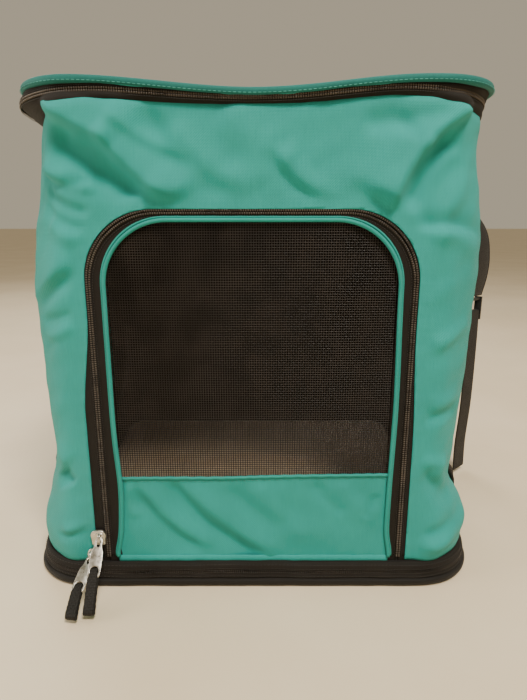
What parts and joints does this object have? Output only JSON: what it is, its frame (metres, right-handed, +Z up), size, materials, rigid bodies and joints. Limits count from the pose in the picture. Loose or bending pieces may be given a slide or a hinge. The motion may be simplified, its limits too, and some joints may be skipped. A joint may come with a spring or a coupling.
{
  "type": "pet carrier bag",
  "caption": "Soft-sided upright pet carrier worn as a backpack, with a zipped mesh front door, zipped lid, mesh sides and a zip-off base.",
  "frame": {"origin": "middle of the base, on the ground", "axes": "+Z up, the door faces -Y, the straps are at +Y"},
  "size_m": [0.4638, 0.4289, 0.396],
  "materials": {
    "teal_fabric": "woven polyester, matt with a slight sheen",
    "zip_tape": "woven zip tape, matt",
    "zip_teeth": "nylon coil, semi-matt",
    "black_fabric": "woven polyester, matt",
    "webbing": "ribbed webbing",
    "mesh": "open knitted mesh",
    "fleece": "short pile",
    "board": "plain stiffening board",
    "zip_metal": "satin nickel plate",
    "spring_steel": "plain wire",
    "plastic": "moulded, matt"
  },
  "bodies": {
    "bag": {"base_bottom_panel": "black_fabric", "base_lower_binding": "black_fabric", "base_board": "board", "base_zip_tape_lower": "zip_tape", "base_zip_coil": "zip_teeth", "base_zip_tape_upper": "zip_tape", "floor_pad": "fleece", "front_panel": "teal_fabric", "right_side_panel": "teal_fabric", "left_side_panel": "teal_fabric", "right_side_mesh": "mesh", "left_side_mesh": "mesh", "right_pocket_mesh": "mesh", "left_pocket_mesh": "mesh", "right_pocket_binding": "webbing", "left_pocket_binding": "webbing", "back_panel": "black_fabric", "back_board": "board", "back_padding": "mesh", "door_zip_tape_outer": "zip_tape", "door_zip_coil_outer": "zip_teeth", "lid_zip_tape_lower": "zip_tape", "lid_zip_coil_lower": "zip_teeth", "lid_hinge_gusset": "zip_tape", "right_upper_anchor": "webbing", "right_lower_anchor": "webbing", "left_upper_anchor": "webbing", "left_lower_anchor": "webbing", "right_handle_anchor": "webbing", "left_handle_anchor": "webbing"},
    "door": {"door_zip_tape_inner": "zip_tape", "door_zip_coil_inner": "zip_teeth", "door_binding": "teal_fabric", "door_mesh": "mesh", "door_lower_panel": "teal_fabric", "door_sill_binding": "teal_fabric"},
    "lid": {"lid_zip_tape_upper": "zip_tape", "lid_zip_coil_upper": "zip_teeth", "lid_binding": "teal_fabric", "lid_frame_wire": "spring_steel", "lid_panel": "teal_fabric"},
    "door_slider_up": {"door_slider_upper": "zip_metal"},
    "door_pull_up": {"door_pull_upper": "zip_metal", "door_pull_loop_upper": "webbing"},
    "door_slider_low": {"door_slider_lower": "zip_metal"},
    "door_pull_low": {"door_pull_lower": "zip_metal", "door_pull_loop_lower": "webbing"},
    "lid_slider_right": {"right_lid_slider": "zip_metal"},
    "lid_pull_right": {"right_lid_pull": "zip_metal"},
    "lid_slider_left": {"left_lid_slider": "zip_metal"},
    "lid_pull_left": {"left_lid_pull": "zip_metal"},
    "base_zip_slider": {"base_slider": "zip_metal"},
    "base_zip_pull": {"base_pull": "zip_metal"},
    "right_strap": {"right_strap_pad": "black_fabric", "right_ladder_lock": "plastic", "right_strap_webbing": "webbing"},
    "left_strap": {"left_strap_pad": "black_fabric", "left_ladder_lock": "plastic", "left_strap_webbing": "webbing"},
    "handle": {"grab_handle": "webbing"}
  },
  "joints": [
    {"name": "door_hinge", "type": "hinge", "parent": "bag", "child": "door", "pos_m": [0, -0.1465, 0.024], "axis": [1, 0, 0], "range_deg": [0, 90]},
    {"name": "lid_hinge", "type": "hinge", "parent": "bag", "child": "lid", "pos_m": [0, 0.144, 0.3865], "axis": [-1, 0, 0], "range_deg": [0, 110]},
    {"name": "door_zip_upper", "type": "slide", "parent": "bag", "child": "door_slider_up", "axis": [0, 0, 1], "range_m": [0, 0.17]},
    {"name": "door_pull_upper_swing", "type": "hinge", "parent": "door_slider_up", "child": "door_pull_up", "pos_m": [-0.1272, -0.1465, 0.044], "axis": [-1, 0, 0], "range_deg": [0, 120]},
    {"name": "door_zip_lower", "type": "slide", "parent": "bag", "child": "door_slider_low", "axis": [0, 0, 1], "range_m": [0, 0.003]},
    {"name": "door_pull_lower_swing", "type": "hinge", "parent": "door_slider_low", "child": "door_pull_low", "pos_m": [-0.1356, -0.1465, 0.0272], "axis": [-1, 0, 0], "range_deg": [0, 110]},
    {"name": "lid_zip_right", "type": "slide", "parent": "bag", "child": "lid_slider_right", "axis": [0, -1, 0], "range_m": [0, 0.15]},
    {"name": "lid_pull_right_swing", "type": "hinge", "parent": "lid_slider_right", "child": "lid_pull_right", "pos_m": [0.1805, 0.08, 0.378], "axis": [0, 0, 1], "range_deg": [0, 170]},
    {"name": "lid_zip_left", "type": "slide", "parent": "bag", "child": "lid_slider_left", "axis": [0, -1, 0], "range_m": [0, 0.15]},
    {"name": "lid_pull_left_swing", "type": "hinge", "parent": "lid_slider_left", "child": "lid_pull_left", "pos_m": [-0.1805, 0.08, 0.378], "axis": [0, 0, -1], "range_deg": [0, 170]},
    {"name": "base_zip", "type": "slide", "parent": "bag", "child": "base_zip_slider", "axis": [-1, 0, 0], "range_m": [0, 0.19]},
    {"name": "base_pull_swing", "type": "hinge", "parent": "base_zip_slider", "child": "base_zip_pull", "pos_m": [0.095, 0.1496, 0.0118], "axis": [0, 0, 1], "range_deg": [0, 170]},
    {"name": "right_strap_swing", "type": "hinge", "parent": "bag", "child": "right_strap", "pos_m": [0.162, 0.16, 0.19], "axis": [0, 0, 1], "range_deg": [0, 203]},
    {"name": "left_strap_swing", "type": "hinge", "parent": "bag", "child": "left_strap", "pos_m": [-0.162, 0.16, 0.19], "axis": [0, 0, 1], "range_deg": [0, 203]},
    {"name": "handle_swing", "type": "hinge", "parent": "bag", "child": "handle", "pos_m": [0, 0.1466, 0.35], "axis": [1, 0, 0], "range_deg": [0, 150]}
  ]
}
